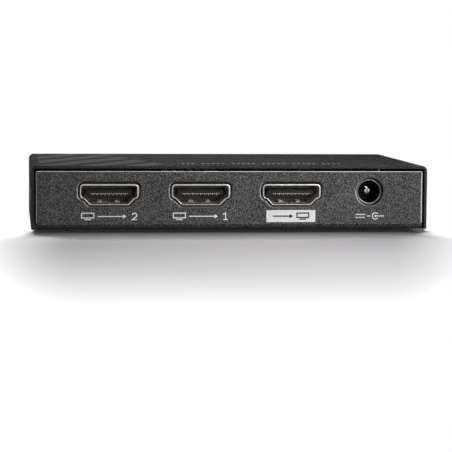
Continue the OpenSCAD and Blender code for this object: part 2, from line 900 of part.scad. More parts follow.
// Lower face of contact k: even contacts lie in the tongue's top, odd ones under it
function contact_z(k) = k % 2 == 0 ? tongue_top - contact_t : tongue_floor;

// Stretch of contact k that the moulded body holds
module contact_run(k, to) {
    z = contact_z(k);
    low = min(z, tip_z);
    high = max(z, tip_z) + contact_t;
    translate([contact_x(k) - contact_w / 2, contact_start, z])
        cube([contact_w, to - contact_start, contact_t]);
    translate([contact_x(k) - tail_w / 2, contact_start, low])
        cube([tail_w, contact_t, high - low]);
    translate([contact_x(k) - tail_w / 2, tongue_recess, tip_z])
        cube([tail_w, contact_start + contact_t - tongue_recess, contact_t]);
}

module socket_insulator()
    color(moulded_black)
        difference() {
            union() {
                along_y(back_wall, shell_len - back_wall)
                    polygon(mouth(-body_clear));
                translate([-tongue_w / 2, tongue_recess, tongue_floor])
                    cube([tongue_w, shell_len - tongue_recess, tongue_t]);
            }
            for (k = [0:contacts - 1]) {
                contact_run(k, shell_len + over);
                translate([contact_x(k) - contact_w / 2, tongue_recess - over, contact_z(k)])
                    cube([contact_w, contact_start + over - tongue_recess, contact_t]);
            }
        }

module socket_contacts()
    color(gold)
        for (k = [0:contacts - 1])
            union() {
                contact_run(k, tail_y + contact_t);
                translate([contact_x(k) - tail_w / 2, tail_y, socket_floor])
                    cube([tail_w, contact_t, contact_z(k) + contact_t - socket_floor]);
                translate([contact_x(k) - tail_w / 2, tail_y, socket_floor])
                    cube([tail_w, tail_len, contact_t]);
            }

// Flat leg that runs from a height above the inlet's axis down through the board
module jack_leg(leg, top)
    translate([leg.x - leg[2].x / 2, leg.y - leg[2].y / 2, -jack_axis - leg_len])
        cube([leg[2].x, leg[2].y, jack_axis + leg_len + top]);

module jack_housing()
    color(moulded_black)
        at_jack()
            difference() {
                rivet_hole = pin_rivet_d + 2 * hole_clear;
                union() {
                    along_y(jack_front, jack_len)
                        polygon(rounded([
                            [-jack_w / 2, -jack_axis, jack_low_r],
                            [jack_w / 2, -jack_axis, jack_low_r],
                            [jack_w / 2, jack_axis, jack_top_r],
                            [-jack_w / 2, jack_axis, jack_top_r]
                        ]));
                    rod_y(jack_face, nose_len + over, jack_nose_d, jack_nose_d);
                }
                rod_y(jack_face - over, jack_floor - jack_face + over, jack_bore_d, jack_bore_d);
                rod_y(jack_face, nose_wall, jack_bore_d + nose_wall, jack_bore_d);
                rod_y(jack_floor - over, jack_rear_wall + 2 * over, rivet_hole, rivet_hole);
                translate([-jack_w, window_y[0], -window_h / 2])
                    cube([jack_w, window_y[1] - window_y[0], window_h]);
            }

module jack_pin()
    color(nickel)
        at_jack()
            difference() {
                tip = jack_face + pin_recess;
                shoulder = tip + pin_tip_len;
                union() {
                    rod_y(tip, pin_tip_len, pin_tip_d, pin_d);
                    rod_y(shoulder, jack_floor - shoulder, pin_d, pin_d);
                    rod_y(jack_floor - over, jack_rear_wall + over + strip_t, pin_rivet_d, pin_rivet_d);
                    jack_leg(pin_leg, pin_d / 2);
                }
                translate([-pin_slot / 2, tip - over, -pin_d])
                    cube([pin_slot, pin_slot_len + over, 2 * pin_d]);
            }

// Leaf that bows through the side window into the bore
module jack_sleeve_spring()
    color(nickel)
        at_jack() {
            translate([0, 0, -spring_w / 2])
                linear_extrude(spring_w)
                    polygon(strip([
                        [strip_x, jack_floor + jack_leg_w],
                        [strip_x, window_y[1] - leaf_bend],
                        [bore_x - strip_t, window_y[1] - leaf_root],
                        [bore_x + spring_reach, window_y[0] + leaf_apex],
                        [bore_x - leaf_return, window_y[0] + leaf_end]
                    ], strip_t));
            jack_leg(spring_leg, 0);
        }

// Fixed strip that the leaf rests against while nothing is plugged in
module jack_switch_contact()
    color(nickel)
        at_jack() {
            front = window_y[0] + switch_inset;
            inner_x = bore_x - leaf_return - strip_t * 1.5;
            translate([0, 0, -spring_w / 2])
                linear_extrude(spring_w)
                    polygon(strip([
                        [strip_x, front + jack_leg_w],
                        [strip_x, front],
                        [inner_x, front],
                        [inner_x, front + leaf_end]
                    ], strip_t));
            jack_leg(switch_leg, 0);
        }

// Row of bent leads along one side of a chip; the body's face lies at x = 0 and the board at z = 0
module lead_row(count, pitch, width, height, reach, t)
    for (k = [0:count - 1])
        translate([0, (k - (count - 1) / 2) * pitch + width / 2, 0])
            rotate([90, 0, 0])
                linear_extrude(width)
                    polygon(strip([
                        [0, height], [reach * 0.35, height], [reach * 0.5, t / 2], [reach, t / 2]
                    ], t));

module on_board(place)
    translate([place.x, place.y, top_z])
        children();

module splitter_chip()
    color(moulded_black)
        on_board(chip_at)
            translate([0, 0, chip_lift])
                linear_extrude(chip_t)
                    polygon(round_rect(chip_w, chip_w, chip_corner));

module splitter_chip_leads()
    color(nickel)
        on_board(chip_at)
            for (a = [0:90:270])
                rotate([0, 0, a])
                    translate([chip_w / 2, 0, 0])
                        lead_row(
                            chip_leads, chip_pitch, chip_lead_w,
                            chip_lift + chip_t / 2, chip_lead_reach, contact_t
                        );

module thermal_pad()
    color([0.6, 0.65, 0.7])
        on_board(chip_at)
            translate([0, 0, chip_lift + chip_t])
                block([chip_w - 2 * pad_margin, chip_w - 2 * pad_margin, pad_t]);

module heat_sink()
    color([0.6, 0.6, 0.62])
        on_board(chip_at)
            translate([0, 0, chip_lift + chip_t + pad_t]) {
                block([sink_w, sink_w, sink_base_t]);
                for (k = [0:sink_fins - 1])
                    translate([(k / (sink_fins - 1) - 0.5) * (sink_w - sink_fin_t), 0, 0])
                        block([sink_fin_t, sink_w, sink_h]);
            }

module memory_chip()
    color(moulded_black)
        on_board(memory_at)
            translate([0, 0, chip_lift])
                block(memory_size);

module memory_chip_leads()
    color(nickel)
        on_board(memory_at)
            for (a = [90, 270])
                rotate([0, 0, a])
                    translate([memory_size.y / 2, 0, 0])
                        lead_row(
                            memory_leads, memory_pitch, memory_lead_w,
                            chip_lift + memory_size.z / 2, memory_lead_reach, memory_lead_t
                        );

module crystal()
    color(nickel)
        on_board(crystal_at)
            for (step = [[0, crystal_rim_t], [crystal_rim_w, crystal_size.z]]) {
                w = crystal_size.x - 2 * step[0];
                d = crystal_size.y - 2 * step[0];
                linear_extrude(step[1]) {
                    square([w - d, d], center = true);
                    for (side = [-1, 1])
                        translate([side * (w - d) / 2, 0])
                            circle(d = d);
                }
            }

module regulators()
    color(moulded_black)
        for (p = regulator_at)
            on_board(p)
                translate([0, 0, chip_lift])
                    block(regulator_size);

module regulator_leads()
    color(nickel)
        for (p = regulator_at)
            on_board(p) {
                height = chip_lift + regulator_size.z / 2;
                rotate([0, 0, -90])
                    translate([regulator_size.y / 2, 0, 0])
                        lead_row(
                            regulator_legs, regulator_leg_pitch, regulator_leg_w,
                            height, regulator_lead_reach, regulator_lead_t
                        );
                rotate([0, 0, 90])
                    translate([regulator_size.y / 2, 0, 0])
                        lead_row(1, 0, regulator_tab_w, height, regulator_lead_reach, regulator_lead_t);
            }

module inductor()
    color([0.22, 0.22, 0.23])
        on_board(coil_at)
            difference() {
                groove_d = coil_w - 2 * coil_groove_gap;
                linear_extrude(coil_h)
                    polygon(round_rect(coil_w, coil_w, coil_corner));
                translate([0, 0, coil_h - coil_groove_depth])
                    difference() {
                        cylinder(h = coil_groove_depth + over, d = groove_d);
                        translate([0, 0, -over])
                            cylinder(h = coil_groove_depth + 3 * over, d = groove_d - 2 * coil_groove_w);
                    }
            }

module electrolytic_capacitors()
    color([0.72, 0.73, 0.75])
        for (p = can_at)
            on_board(p) {
                b = can_base / 2;
                r = can_d / 2;
                linear_extrude(can_base_t)
                    polygon([
                        [-b, -b],
                        [b - can_base_cut, -b],
                        [b, can_base_cut - b],
                        [b, b - can_base_cut],
                        [b - can_base_cut, b],
                        [-b, b]
                    ]);
                rotate_extrude()
                    polygon([
                        [0, 0],
                        [r, 0],
                        [r, can_bead_z - can_bead],
                        [r - can_bead, can_bead_z],
                        [r, can_bead_z + can_bead],
                        [r, can_h - can_edge],
                        [r - can_edge, can_h],
                        [0, can_h]
                    ]);
            }

module chip_capacitors()
    color([0.62, 0.5, 0.38])
        for (side = [-1, 1], k = [-2:2]) {
            across = sink_w / 2 + capacitor_gap + capacitor_size.x / 2;
            on_board([chip_at.x + side * across, chip_at.y + k * capacitor_pitch])
                block(capacitor_size);
        }

module chip_resistors()
    color(moulded_black)
        for (x = socket_x, k = [0:7])
            on_board([x + (k - 3.5) * resistor_pitch, socket_y + tail_y + resistor_row])
                block(resistor_size);

module surge_arrays()
    color(moulded_black)
        for (x = socket_x, side = [-1, 1])
            on_board([x + side * array_x, socket_y + tail_y + array_row])
                block(array_size);

module status_lamps()
    color([0.85, 0.85, 0.82, 0.6])
        at_lamps()
            translate([0, lamp_rear, 0])
                rotate([-90, 0, 0])
                    rotate_extrude() {
                        r = lamp_d / 2;
                        polygon(concat(
                            [[0, 0]],
                            [[lamp_collar_d / 2, 0]],
                            [[lamp_collar_d / 2, lamp_collar_t]],
                            [[r, lamp_collar_t]],
                            [for (a = [0:15:90]) [r * cos(a), lamp_len - r * (1 - sin(a))]]
                        ));
                    }

module lamp_leads()
    color(nickel)
        at_lamps()
            for (side = [-1, 1])
                translate([side * lamp_lead_gap, 0, 0])
                    along_x(lamp_lead_w)
                        polygon(strip([
                            [lamp_rear, 0], [lamp_rear - lamp_lead_run, 0],
                            [lamp_rear - lamp_lead_run, -lamp_axis - leg_len]
                        ], lamp_lead_w));

top_cover();
base_tray();
cover_screws();
rubber_feet();
standoffs();
board_screws();
circuit_board();
at_socket(0) socket_shell();  // out2_shell
at_socket(0) socket_insulator();  // out2_insulator
at_socket(0) socket_contacts();  // out2_contacts
at_socket(1) socket_shell();  // out1_shell
at_socket(1) socket_insulator();  // out1_insulator
at_socket(1) socket_contacts();  // out1_contacts
at_socket(2) socket_shell();  // in_shell
at_socket(2) socket_insulator();  // in_insulator
at_socket(2) socket_contacts();  // in_contacts
jack_housing();
jack_pin();
jack_sleeve_spring();
jack_switch_contact();
splitter_chip();
splitter_chip_leads();
thermal_pad();
heat_sink();
memory_chip();
memory_chip_leads();
crystal();
regulators();
regulator_leads();
inductor();
electrolytic_capacitors();
chip_capacitors();
chip_resistors();
surge_arrays();
status_lamps();
lamp_leads();
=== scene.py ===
import json
import math

import bmesh
import bpy
from mathutils import Matrix, Vector

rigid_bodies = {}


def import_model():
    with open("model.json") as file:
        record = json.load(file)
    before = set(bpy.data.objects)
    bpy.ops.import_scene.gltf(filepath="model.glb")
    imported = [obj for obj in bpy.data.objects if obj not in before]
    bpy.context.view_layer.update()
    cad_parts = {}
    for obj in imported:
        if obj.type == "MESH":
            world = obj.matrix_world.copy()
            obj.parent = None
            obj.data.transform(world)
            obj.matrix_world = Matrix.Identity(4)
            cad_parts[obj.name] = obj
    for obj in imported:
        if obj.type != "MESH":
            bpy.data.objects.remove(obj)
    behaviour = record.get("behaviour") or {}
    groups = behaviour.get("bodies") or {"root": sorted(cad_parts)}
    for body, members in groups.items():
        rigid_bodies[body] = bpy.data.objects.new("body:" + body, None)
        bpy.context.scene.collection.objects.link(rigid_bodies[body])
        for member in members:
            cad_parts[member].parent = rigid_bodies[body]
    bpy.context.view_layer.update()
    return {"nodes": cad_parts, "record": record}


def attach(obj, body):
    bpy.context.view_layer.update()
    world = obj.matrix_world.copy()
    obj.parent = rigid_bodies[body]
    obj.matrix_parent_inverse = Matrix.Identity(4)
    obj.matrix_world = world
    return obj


for leftover in list(bpy.data.objects):
    bpy.data.objects.remove(leftover)

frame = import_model()
nodes = frame["nodes"]
scene = bpy.context.scene
scene.view_settings.view_transform = "Standard"

# Places in millimetres that the solids share with the pieces below
MM = 0.001
TOP_Z = 17.2
INNER_X, INNER_Z = 49.3, 16.5
PANEL_Y = -29.5
FOLD_TOP = 2.8
RIM_X, RIM_Z = 48.3, 15.3
SOCKET_X = {"out2": -30.55, "out1": -7.6, "in": 15.35}
SOCKET_Y, SOCKET_Z = -29.9, 9.975
MOUTH_HALF_WIDTH, MOUTH_HALF_HEIGHT = 7.0, 2.275
MOUTH_FLOOR_Z = SOCKET_Z - MOUTH_HALF_HEIGHT
LIP_INNER, LIP_OUTER = 0.04, 0.34
TONGUE_Y, TONGUE_TOP, UPPER_ROW_Z = -28.8, 11.0, 10.6
JACK_X, JACK_Y, JACK_Z, JACK_BORE = 35.4, -28.2, 10.6, 2.85
LENS_INSIDE_Y, LENS_OUTSIDE_Y = 27.5, 28.8


# Materials

STRIPE_ORIGIN = 0.1
NOISE_SPAN, TINT_SPAN, INK_SPAN = (0.3, 0.7), (0.35, 0.65), (0.3, 0.6)
ROUGH_SPREAD = 0.08


class Nodes:
    """Short calls for the nodes of one node tree."""

    def __init__(self, tree):
        self.tree = tree

    def add(self, kind, **settings):
        node = self.tree.nodes.new(kind)
        for key, value in settings.items():
            setattr(node, key, value)
        return node

    def link(self, source, target):
        self.tree.links.new(source, target)

    def feed(self, socket, value):
        """Puts a colour or a number on a socket, or links another socket to it."""
        if isinstance(value, tuple):
            socket.default_value = (*value, 1.0)
        elif isinstance(value, (int, float)):
            socket.default_value = value
        else:
            self.link(value, socket)

    def math(self, operation, a, b=None, clamp=False):
        node = self.add("ShaderNodeMath", operation=operation, use_clamp=clamp)
        self.feed(node.inputs[0], a)
        if b is not None:
            self.feed(node.inputs[1], b)
        return node.outputs["Value"]

    def plus(self, a, b, clamp=False):
        return self.math("ADD", a, b, clamp)

    def minus(self, a, b):
        return self.math("SUBTRACT", a, b)

    def times(self, first, *others):
        for other in others:
            first = self.math("MULTIPLY", first, other)
        return first

    def over(self, a, b, clamp=False):
        return self.math("DIVIDE", a, b, clamp)

    def larger(self, a, b):
        return self.math("MAXIMUM", a, b)

    def size(self, value):
        return self.math("ABSOLUTE", value)

    def inverse(self, share):
        return self.minus(1.0, share)

    def above(self, value, limit):
        return self.math("GREATER_THAN", value, limit)

    def below(self, value, limit):
        return self.math("LESS_THAN", value, limit)

    def between(self, value, low, high):
        return self.times(self.above(value, low), self.below(value, high))

    def stripes(self, along, period, share):
        """One on the first share of each period along a coordinate, and zero between."""
        counted = self.times(self.plus(along, STRIPE_ORIGIN), 1 / period)
        return self.below(self.math("FRACT", counted), share)

    def range(self, source, low, high, to_low=0.0, to_high=1.0):
        """Maps a span of values to another one, without leaving it."""
        node = self.add("ShaderNodeMapRange")
        limits = {"From Min": low, "From Max": high, "To Min": to_low, "To Max": to_high}
        for key, value in limits.items():
            self.feed(node.inputs[key], value)
        self.link(source, node.inputs["Value"])
        return node.outputs["Result"]

    def seen(self):
        """Rays of the camera, of metal and of glass."""
        rays = self.add("ShaderNodeLightPath").outputs
        both = self.plus(rays["Is Camera Ray"], rays["Is Glossy Ray"], clamp=True)
        return self.plus(both, rays["Is Transmission Ray"], clamp=True)

    def parts(self, vector):
        node = self.add("ShaderNodeSeparateXYZ")
        self.link(vector, node.inputs["Vector"])
        return node.outputs

    def mix(self, factor, a, b, blend="MIX"):
        node = self.add("ShaderNodeMix", data_type="RGBA", blend_type=blend)
        for index, value in ((0, factor), (6, a), (7, b)):
            self.feed(node.inputs[index], value)
        return node.outputs[2]

    def scaled(self, colour, factor):
        return self.mix(1.0, colour, factor, "MULTIPLY")

    def shaded(self, colour, where, share):
        """A colour brought down to a share of itself where a mask is one."""
        return self.scaled(colour, self.range(where, 0.0, 1.0, 1.0, share))


class Paint(Nodes):
    """A material around one principled shader."""

    def __init__(self, name, **values):
        self.material = bpy.data.materials.new(name)
        self.material.use_nodes = True
        super().__init__(self.material.node_tree)
        self.shader = self.tree.nodes["Principled BSDF"]
        for key, value in values.items():
            self.shader.inputs[key.replace("_", " ")].default_value = value
        coordinates = self.add("ShaderNodeTexCoord")
        self.place = coordinates.outputs["Object"]
        self.normal = coordinates.outputs["Normal"]

    def into(self, source, socket):
        self.link(source, self.shader.inputs[socket])

    def grain(self, scale, stretch=None, detail=3.0, rough=0.6):
        """Fine noise in the piece's own coordinates; a stretch draws it out into lines."""
        node = self.add("ShaderNodeTexNoise")
        node.inputs["Scale"].default_value = scale
        node.inputs["Detail"].default_value = detail
        node.inputs["Roughness"].default_value = rough
        place = self.place
        if stretch is not None:
            mapping = self.add("ShaderNodeMapping")
            mapping.inputs["Scale"].default_value = stretch
            self.link(place, mapping.inputs["Vector"])
            place = mapping.outputs["Vector"]
        self.link(place, node.inputs["Vector"])
        return node.outputs["Fac"]

    def cloud(self, scale, stretch=None, detail=2.0):
        """Softer noise, for stains and mottle."""
        return self.grain(scale, stretch, detail, rough=0.5)

    def borders(self, scale):
        """Distance to the borders of a net of cells."""
        node = self.add("ShaderNodeTexVoronoi", feature="DISTANCE_TO_EDGE")
        node.inputs["Scale"].default_value = scale
        self.link(self.place, node.inputs["Vector"])
        return node.outputs["Distance"]

    def vary(self, noise, low, high):
        """A value that follows a noise over its usual span."""
        return self.range(noise, *NOISE_SPAN, low, high)

    def ramp(self, source, *stops):
        node = self.add("ShaderNodeValToRGB")
        ramp = node.color_ramp
        while len(ramp.elements) < len(stops):
            ramp.elements.new(0.5)
        for element, (at, colour) in zip(ramp.elements, stops):
            element.position = at
            element.color = (*colour, 1.0)
        self.link(source, node.inputs["Fac"])
        return node.outputs["Color"]

    def tint(self, noise, low, high, span=TINT_SPAN):
        """A colour that follows a noise from one end of a span to the other."""
        return self.ramp(noise, *zip(span, (low, high)))

    def bump(self, source, strength, depth):
        """Fine relief; its depth is in millimetres."""
        node = self.add("ShaderNodeBump")
        node.inputs["Strength"].default_value = strength
        node.inputs["Distance"].default_value = depth * MM
        self.link(source, node.inputs["Height"])
        self.into(node.outputs["Normal"], "Normal")


def grey(level):
    return (level, level, level)


BAR_PERIOD, BAR_SHARE, BAR_SLANT = 11.2, 0.58, 0.55
BARS_FROM, BARS_TO, BARS_END_SLANT = -47.8, -22.0, 0.25
TICK_PERIOD, TICK_SHARE = 1.3, 0.45
TICK_GROUP, TICK_GROUP_SHARE = 7.8, 0.84
TICKS_FROM, TICKS_TO = -12.5, 30.0
TICKS_FRONT, TICKS_BACK = -20.8, -18.2


def top_print_and_painted_shade(p, colour):
    """Slanted pale bars and a row of plain ticks on the cover, with painted shade on the cut edges
    and on the inside.
    """
    bar_ink, bar_cover = (0.158, 0.158, 0.178), 0.85
    tick_ink, tick_cover = grey(0.62), 0.7
    facing_out, cut_edge_shade_share, inside_shade_share = 0.8, 0.5, 0.2
    x, y, z = p.parts(p.place)
    on_top = p.above(z, (TOP_Z - 0.05) * MM)
    bars = p.times(
        on_top,
        p.stripes(p.minus(x, p.times(y, BAR_SLANT)), BAR_PERIOD * MM, BAR_SHARE),
        p.below(p.plus(x, p.times(y, BARS_END_SLANT)), BARS_TO * MM),
        p.above(x, BARS_FROM * MM),
    )
    ticks = p.times(
        on_top,
        p.between(x, TICKS_FROM * MM, TICKS_TO * MM),
        p.between(y, TICKS_FRONT * MM, TICKS_BACK * MM),
        p.stripes(x, TICK_PERIOD * MM, TICK_SHARE),
        p.stripes(x, TICK_GROUP * MM, TICK_GROUP_SHARE),
    )
    # Painted shade: the cover's cut edges are darkened to half and its inside to a fifth.
    shaded_cut_edges = p.above(p.size(p.parts(p.normal)[1]), facing_out)
    shaded_inside = p.times(p.below(p.size(x), INNER_X * MM), p.below(z, INNER_Z * MM))
    colour = p.mix(p.times(bars, bar_cover), colour, bar_ink)
    colour = p.mix(p.times(ticks, tick_cover), colour, tick_ink)
    return p.shaded(p.shaded(colour, shaded_cut_edges, cut_edge_shade_share), shaded_inside, inside_shade_share)


# Where the painted highlight line runs along the chamfer of the panel's top and side edges, and how
# far it moves in on edges that face left.
RIM_LINE_FROM, RIM_LINE_TO, RIM_LINE_LEFT = 29.19, 29.34, -0.16
TURNED_LEFT, TURNED_RIGHT = (-0.5, -0.2), (0.2, 0.6)


def edge_highlights_and_underside_shade(p, colour):
    """Painted highlights on the panels' broken edges, lighter where they face right, and painted
    shade on what faces down.
    """
    rim_left, rim_right = grey(0.92), grey(0.86)
    hole_left, hole_right = grey(0.14), grey(0.54)
    least_slope, facing_right, facing_down, underside_shade_share = 0.19, 0.3, -0.06, 0.5
    x, y, z = p.parts(p.place)
    to_right, to_back, to_top = p.parts(p.normal)
    side = p.size(to_back)
    slope = p.times(side, p.inverse(side))
    broken = p.times(p.above(slope, least_slope), p.above(z, FOLD_TOP * MM))
    rim = p.larger(p.above(z, RIM_Z * MM), p.above(p.size(x), RIM_X * MM))
    inset = p.range(to_right, *TURNED_LEFT, RIM_LINE_LEFT * MM, 0.0)
    line = p.between(p.plus(p.size(y), inset), RIM_LINE_FROM * MM, RIM_LINE_TO * MM)
    line = p.larger(line, p.above(to_right, facing_right))
    # Painted highlight: the rim line and the hole edges get a light colour, lighter on edges that
    # face right.
    painted_highlight = p.times(broken, p.larger(line, p.inverse(rim)))
    rightward = p.range(to_right, *TURNED_RIGHT)
    hole = p.mix(rightward, hole_left, hole_right)
    edge = p.mix(rightward, rim_left, rim_right)
    colour = p.mix(painted_highlight, colour, p.mix(rim, hole, edge))
    # Painted shade: what faces down is darkened to half.
    return p.shaded(colour, p.below(to_top, facing_down), underside_shade_share)


def powder_coat(name, print_or_painted_light, gloss):
    """Charcoal powder coat with a fine sandy grain; the second argument adds the print with painted
    shade, or the painted edge highlights and underside shade.
    """
    pit, slope, peak = grey(0.012), (0.056, 0.056, 0.0565), (0.215, 0.215, 0.216)
    p = Paint(name, IOR=1.45, Specular_IOR_Level=gloss)
    grain = p.grain(4600, detail=4.0, rough=0.7)
    mottle = p.cloud(160, detail=3.0)
    colour = p.ramp(grain, (0.38, pit), (0.50, slope), (0.62, peak))
    colour = p.scaled(colour, p.vary(mottle, 0.9, 1.1))
    p.into(print_or_painted_light(p, colour), "Base Color")
    p.into(p.vary(grain, 0.95, 0.8), "Roughness")
    p.bump(grain, strength=0.3, depth=0.05)
    return p.material


def metal(name, colour, rough, scale=900, stretch=None):
    """Plated or bare metal with fine drawing lines, faint stain and uneven polish."""
    stained = tuple(c * 0.86 for c in colour)
    p = Paint(name, Metallic=1.0)
    lines = p.grain(scale, stretch)
    p.into(p.tint(p.cloud(260), stained, colour), "Base Color")
    p.into(p.vary(lines, rough - ROUGH_SPREAD, rough + ROUGH_SPREAD), "Roughness")
    p.bump(lines, strength=0.03, depth=0.02)
    return p.material


def contact_plate(name):
    """Pale gold flash on the contacts; the upper row is painted dark as shade at the bottom of its
    slots.
    """
    low, high, painted_slot_shade = (0.62, 0.59, 0.50), (0.74, 0.70, 0.60), (0.05, 0.045, 0.04)
    p = Paint(name, Metallic=1.0)
    lines = p.grain(1600, stretch=(1, 0.2, 1))
    upper = p.above(p.parts(p.place)[2], UPPER_ROW_Z * MM)
    # Painted shade: the upper row of contacts is made near-black.
    p.into(p.mix(upper, p.tint(lines, low, high), painted_slot_shade), "Base Color")
    p.into(p.vary(lines, 0.20, 0.34), "Roughness")
    return p.material


def shell_nickel(name):
    """Dull nickel of the stamped shells, with painted shade outside the lip and on the floor behind
    it.
    """
    low, high, painted_shade_share = (0.64, 0.55, 0.47), (0.76, 0.66, 0.57), 0.07
    lip_end, floor_reach, wall_reach = SOCKET_Y + 0.4, 3.0, 0.3
    floor_z, wall_z = MOUTH_FLOOR_Z + 0.02, MOUTH_FLOOR_Z + 0.20
    p = Paint(name, Metallic=0.30)
    lines = p.grain(1100, stretch=(1, 0.15, 1))
    y, z = p.parts(p.place)[1:]
    reach = p.range(z, floor_z * MM, wall_z * MM, floor_reach * MM, wall_reach * MM)
    depth = p.over(p.minus(y, lip_end * MM), reach)
    # Painted shade: darkest from the lip outwards, full colour further in.
    shade = p.range(depth, 0.0, 1.0, painted_shade_share, 1.0)
    p.into(p.scaled(p.tint(lines, low, high), shade), "Base Color")
    p.into(p.vary(lines, 0.40, 0.55), "Roughness")
    p.bump(lines, strength=0.03, depth=0.02)
    return p.material


def moulding(name, low, high, rough, scale, bump, gloss=0.5, ior=1.5):
    """Moulded or cast surface with a fine grain."""
    p = Paint(name, Specular_IOR_Level=gloss, IOR=ior)
    grain = p.grain(scale)
    fine, broad = p.tint(grain, low, high), p.tint(p.cloud(160), low, high)
    p.into(p.mix(0.5, fine, broad), "Base Color")
    p.into(p.vary(grain, rough - ROUGH_SPREAD, rough + ROUGH_SPREAD), "Roughness")
    p.bump(grain, strength=bump, depth=0.03)
    return p.material


def socket_black(name):
    """Moulded black of the sockets, with painted shade at the tip of the tongue and painted light
    above it.
    """
    low, high = (0.085, 0.085, 0.086), (0.125, 0.125, 0.126)
    tip_length, tip_shade_share, painted_light_share = 0.9, 0.13, 2.4
    step_from, step_to = TONGUE_TOP - 0.05, TONGUE_TOP + 0.15
    p = Paint(name, Specular_IOR_Level=0.15)
    grain = p.grain(1400)
    y, z = p.parts(p.place)[1:]
    # Painted shade darkens the front of the tongue, and painted light makes the moulding above the
    # tongue 2.4 times lighter.
    painted_tip_shade = p.range(y, TONGUE_Y * MM, (TONGUE_Y + tip_length) * MM, tip_shade_share, 1.0)
    above = p.range(z, step_from * MM, step_to * MM, 1.0, painted_light_share)
    p.into(p.scaled(p.scaled(p.tint(grain, low, high), painted_tip_shade), above), "Base Color")
    p.into(p.vary(grain, 0.45, 0.6), "Roughness")
    p.bump(grain, strength=0.1, depth=0.03)
    return p.material


def laminate(name):
    """Black solder mask over copper tracks and a woven glass core."""
    low, high, on_track = (0.008, 0.010, 0.009), (0.014, 0.017, 0.015), (0.030, 0.034, 0.030)
    p = Paint(name, IOR=1.5)
    track = p.range(p.borders(420), 0.06, 0.1, 1.0, 0.0)
    weave = p.cloud(1400, stretch=(1, 6, 1))
    p.into(p.mix(track, p.tint(weave, low, high, NOISE_SPAN), on_track), "Base Color")
    p.into(p.vary(weave, 0.25, 0.4), "Roughness")
    p.bump(track, strength=0.3, depth=0.03)
    return p.material


def lens(name):
    """Milky lamp body, with painted shade where it stands inside the case."""
    low, high, inside_shade_share = (0.50, 0.52, 0.52), (0.66, 0.67, 0.66), 0.03
    p = Paint(name, IOR=1.49)
    cloud = p.cloud(700)
    y = p.parts(p.place)[1]
    # Painted shade: the part of each lamp inside the case is darkened nearly to black.
    shade_inside_case = p.range(y, LENS_INSIDE_Y * MM, LENS_OUTSIDE_Y * MM, inside_shade_share, 1.0)
    p.into(p.scaled(p.tint(cloud, low, high, NOISE_SPAN), shade_inside_case), "Base Color")
    p.into(p.vary(cloud, 0.10, 0.20), "Roughness")
    return p.material


def ink(name, low, high):
    """Screen-printed ink that follows the grain of the coat under it."""
    p = Paint(name, Specular_IOR_Level=0.1)
    grain = p.grain(2300, rough=0.65)
    p.into(p.tint(grain, low, high, INK_SPAN), "Base Color")
    p.into(p.vary(grain, 0.7, 0.55), "Roughness")
    p.bump(grain, strength=0.2, depth=0.03)
    return p.material


looks = {
    "cover_paint": powder_coat("cover_paint", top_print_and_painted_shade, gloss=0.0),
    "tray_paint": powder_coat("tray_paint", edge_highlights_and_underside_shade, gloss=0.01),
    "screw_steel": metal("screw_steel", (0.56, 0.56, 0.57), rough=0.32),
    "dark_metal": metal("dark_metal", (0.10, 0.10, 0.105), rough=0.40),
    "foot_rubber": moulding(
        "foot_rubber", grey(0.24), grey(0.32), rough=0.75, scale=1200, bump=0.3
    ),
    "board_laminate": laminate("board_laminate"),
    "nickel_plate": metal(
        "nickel_plate", (0.56, 0.515, 0.465), rough=0.26, scale=1100, stretch=(1, 0.15, 1)
    ),
    "shell_nickel": shell_nickel("shell_nickel"),
    "pin_nickel": metal("pin_nickel", (0.88, 0.87, 0.85), rough=0.16, scale=1100),
    "gold_plate": contact_plate("gold_plate"),
    "moulded_black": moulding(
        "moulded_black", (0.006, 0.006, 0.0065), (0.013, 0.013, 0.0135),
        rough=0.36, scale=1400, bump=0.1, gloss=0.2,
    ),
    "socket_black": socket_black("socket_black"),
    "gloss_black": moulding(
        "gloss_black", grey(0.008), grey(0.014),
        rough=0.16, scale=900, bump=0.02, gloss=1.0, ior=1.9,
    ),
    "chip_black": moulding(
        "chip_black", grey(0.018), grey(0.04), rough=0.6, scale=2200, bump=0.25
    ),
    "tinned_lead": metal("tinned_lead", (0.66, 0.66, 0.65), rough=0.38, scale=1500),
    "thermal_pad": moulding(
        "thermal_pad", (0.22, 0.27, 0.33), (0.32, 0.37, 0.43), rough=0.7, scale=900, bump=0.3
    ),
    "ferrite": moulding(
        "ferrite", (0.03, 0.03, 0.032), (0.07, 0.07, 0.075), rough=0.55, scale=1800, bump=0.3
    ),
    "ceramic_tan": moulding(
        "ceramic_tan", (0.30, 0.20, 0.12), (0.42, 0.30, 0.19), rough=0.45, scale=1800, bump=0.2
    ),
    "lamp_lens": lens("lamp_lens"),
    "white_ink": ink("white_ink", grey(0.66), grey(0.90)),
    "plate_ink": ink("plate_ink", grey(0.64), grey(0.78)),
    "black_ink": ink("black_ink", grey(0.012), grey(0.03)),
}

slots = {sub["node"]: sub["material_slot"] for sub in frame["record"]["subparts"]}
own_looks = {
    "top_cover": "cover_paint", "base_tray": "tray_paint",
    "cover_screws": "dark_metal", "heat_sink": "dark_metal", "jack_pin": "pin_nickel",
    "electrolytic_capacitors": "chip_black",
}
for socket in SOCKET_X:
    own_looks[f"{socket}_shell"] = "shell_nickel"
    own_looks[f"{socket}_insulator"] = "socket_black"
for name, node in nodes.items():
    look = own_looks.get(name, slots[name])
    node.data.materials.clear()
    node.data.materials.append(looks[look])


# Rounded edges of two nodes

